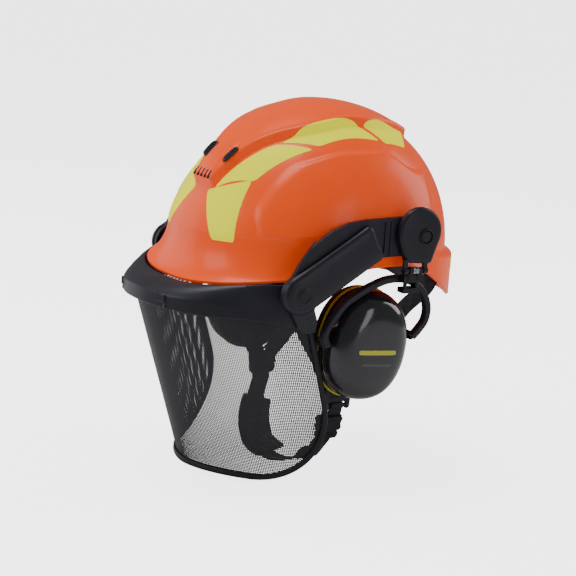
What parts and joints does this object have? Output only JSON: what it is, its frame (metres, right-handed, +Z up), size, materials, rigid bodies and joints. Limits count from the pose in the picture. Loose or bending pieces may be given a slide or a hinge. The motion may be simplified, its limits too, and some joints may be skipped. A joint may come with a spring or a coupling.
{
  "type": "hard hat",
  "caption": "Forestry hard hat with lift-up mesh face shield, hinged ear muffs, ratchet headband, chin strap, sliding vents and reflective strips.",
  "frame": {"origin": "centre of the headband on the wearing plane, between the temples", "axes": "+Z up, -Y towards the peak (front), +X the wearer's left"},
  "size_m": [0.2442, 0.3048, 0.3308],
  "materials": {
    "shell": "smooth semi-gloss orange",
    "reflective_yellow": "fluorescent yellow film",
    "webbing": "woven black webbing",
    "harness_plastic": "matt black",
    "foam": "soft dark foam and cloth",
    "fittings": "matt black",
    "arm_plastic": "fine-grained black",
    "mesh": "black-painted woven wire, seen through",
    "edge_rail": "matt black edge strip",
    "spring_steel": "plain steel",
    "cup_gloss": "glossy near-black",
    "cup_matt": "matt black",
    "cushion_skin": "soft dark skin",
    "piping": "yellow-green seam"
  },
  "bodies": {
    "helmet": {"shell": "shell", "reflective_strips_left": "reflective_yellow", "reflective_strips_right": "reflective_yellow", "crown_strap_front": "webbing", "crown_strap_middle": "webbing", "crown_strap_rear": "webbing", "harness_clips": "harness_plastic", "headband": "harness_plastic", "sweatband": "foam", "slot_adapter_left": "arm_plastic", "slot_adapter_right": "arm_plastic", "pivot_button_left": "arm_plastic", "pivot_button_right": "arm_plastic", "strap_front_left": "webbing", "strap_front_right": "webbing", "strap_rear_left": "webbing", "strap_rear_right": "webbing", "strap_divider_left": "fittings", "strap_divider_right": "fittings", "buckle_socket": "fittings"},
    "vent_left": {"vent_slider_left": "fittings", "vent_shutter_left": "fittings"},
    "vent_right": {"vent_slider_right": "fittings", "vent_shutter_right": "fittings"},
    "nape": {"nape_band": "harness_plastic", "nape_pad": "foam", "nape_housing": "harness_plastic"},
    "knob": {"nape_knob": "harness_plastic"},
    "chin": {"chin_strap": "webbing", "chin_loop": "webbing", "chin_pad": "foam", "buckle_tongue": "fittings", "strap_adjuster": "fittings"},
    "visor_arms": {"visor_arm_left": "arm_plastic", "visor_arm_right": "arm_plastic", "arm_core_left": "arm_plastic", "arm_core_right": "arm_plastic", "visor_pivot_screws": "arm_plastic"},
    "visor": {"brow_guard": "arm_plastic", "visor_mesh": "mesh", "visor_frame": "edge_rail", "visor_brackets": "arm_plastic"},
    "bracket_left": {"ear_bracket_left": "arm_plastic", "ear_spring_left": "spring_steel"},
    "carrier_left": {"ear_carrier_left": "arm_plastic"},
    "yoke_left": {"ear_yoke_left": "arm_plastic"},
    "cup_left": {"cup_shell_left": "cup_gloss", "cup_plate_left": "cup_matt", "ear_cushion_left": "cushion_skin", "cushion_piping_left": "piping", "ear_foam_left": "foam"},
    "bracket_right": {"ear_bracket_right": "arm_plastic", "ear_spring_right": "spring_steel"},
    "carrier_right": {"ear_carrier_right": "arm_plastic"},
    "yoke_right": {"ear_yoke_right": "arm_plastic"},
    "cup_right": {"cup_shell_right": "cup_gloss", "cup_plate_right": "cup_matt", "ear_cushion_right": "cushion_skin", "cushion_piping_right": "piping", "ear_foam_right": "foam"}
  },
  "joints": [
    {"name": "visor_lift", "type": "hinge", "parent": "helmet", "child": "visor_arms", "pos_m": [0, 0.043, 0.049], "axis": [-1, 0, 0], "range_deg": [0, 75]},
    {"name": "visor_tilt", "type": "hinge", "parent": "visor_arms", "child": "visor", "pos_m": [0, -0.077, 0.004], "axis": [-1, 0, 0], "range_deg": [0, 25]},
    {"name": "vent_slide_left", "type": "slide", "parent": "helmet", "child": "vent_left", "axis": [0.0752, 0.6947, 0.7154], "range_m": [-0.004, 0.004]},
    {"name": "vent_slide_right", "type": "slide", "parent": "helmet", "child": "vent_right", "axis": [-0.0752, 0.6947, 0.7154], "range_m": [-0.004, 0.004]},
    {"name": "nape_slide", "type": "slide", "parent": "helmet", "child": "nape", "axis": [0, 1, 0], "range_m": [-0.0066, 0.0025]},
    {"name": "knob_turn", "type": "hinge", "parent": "nape", "child": "knob", "pos_m": [0, 0.11, 0.004], "axis": [0, 1, 0], "range_deg": [-200, 76]},
    {"name": "chin_open", "type": "hinge", "parent": "helmet", "child": "chin", "pos_m": [-0.064, 0.002, -0.1125], "axis": [0, 1, 0], "range_deg": [0, 60]},
    {"name": "ear_swing_left", "type": "hinge", "parent": "helmet", "child": "bracket_left", "pos_m": [0.117, 0.043, 0.049], "axis": [1, 0, 0], "range_deg": [0, 10]},
    {"name": "ear_open_left", "type": "hinge", "parent": "bracket_left", "child": "carrier_left", "pos_m": [0.119, 0.0345, 0.0195], "axis": [0, -1, 0], "range_deg": [0, 30], "stiffness_Nm_per_rad": 0.4, "springref_deg": -14.32},
    {"name": "ear_height_left", "type": "slide", "parent": "carrier_left", "child": "yoke_left", "axis": [0, 0, 1], "range_m": [-0.008, 0.005]},
    {"name": "cup_tilt_left", "type": "hinge", "parent": "yoke_left", "child": "cup_left", "pos_m": [0.0996, 0.001, -0.042], "axis": [0, 1, 0], "range_deg": [-5, 5]},
    {"name": "ear_swing_right", "type": "hinge", "parent": "helmet", "child": "bracket_right", "pos_m": [-0.117, 0.043, 0.049], "axis": [1, 0, 0], "range_deg": [0, 10]},
    {"name": "ear_open_right", "type": "hinge", "parent": "bracket_right", "child": "carrier_right", "pos_m": [-0.119, 0.0345, 0.0195], "axis": [0, 1, 0], "range_deg": [0, 30], "stiffness_Nm_per_rad": 0.4, "springref_deg": -14.32},
    {"name": "ear_height_right", "type": "slide", "parent": "carrier_right", "child": "yoke_right", "axis": [0, 0, 1], "range_m": [-0.008, 0.005]},
    {"name": "cup_tilt_right", "type": "hinge", "parent": "yoke_right", "child": "cup_right", "pos_m": [-0.0996, 0.001, -0.042], "axis": [0, 1, 0], "range_deg": [-5, 5]}
  ],
  "couplings": [
    {"joint": "knob_turn", "follows": "nape_slide", "rad_per_m": 526.32}
  ]
}
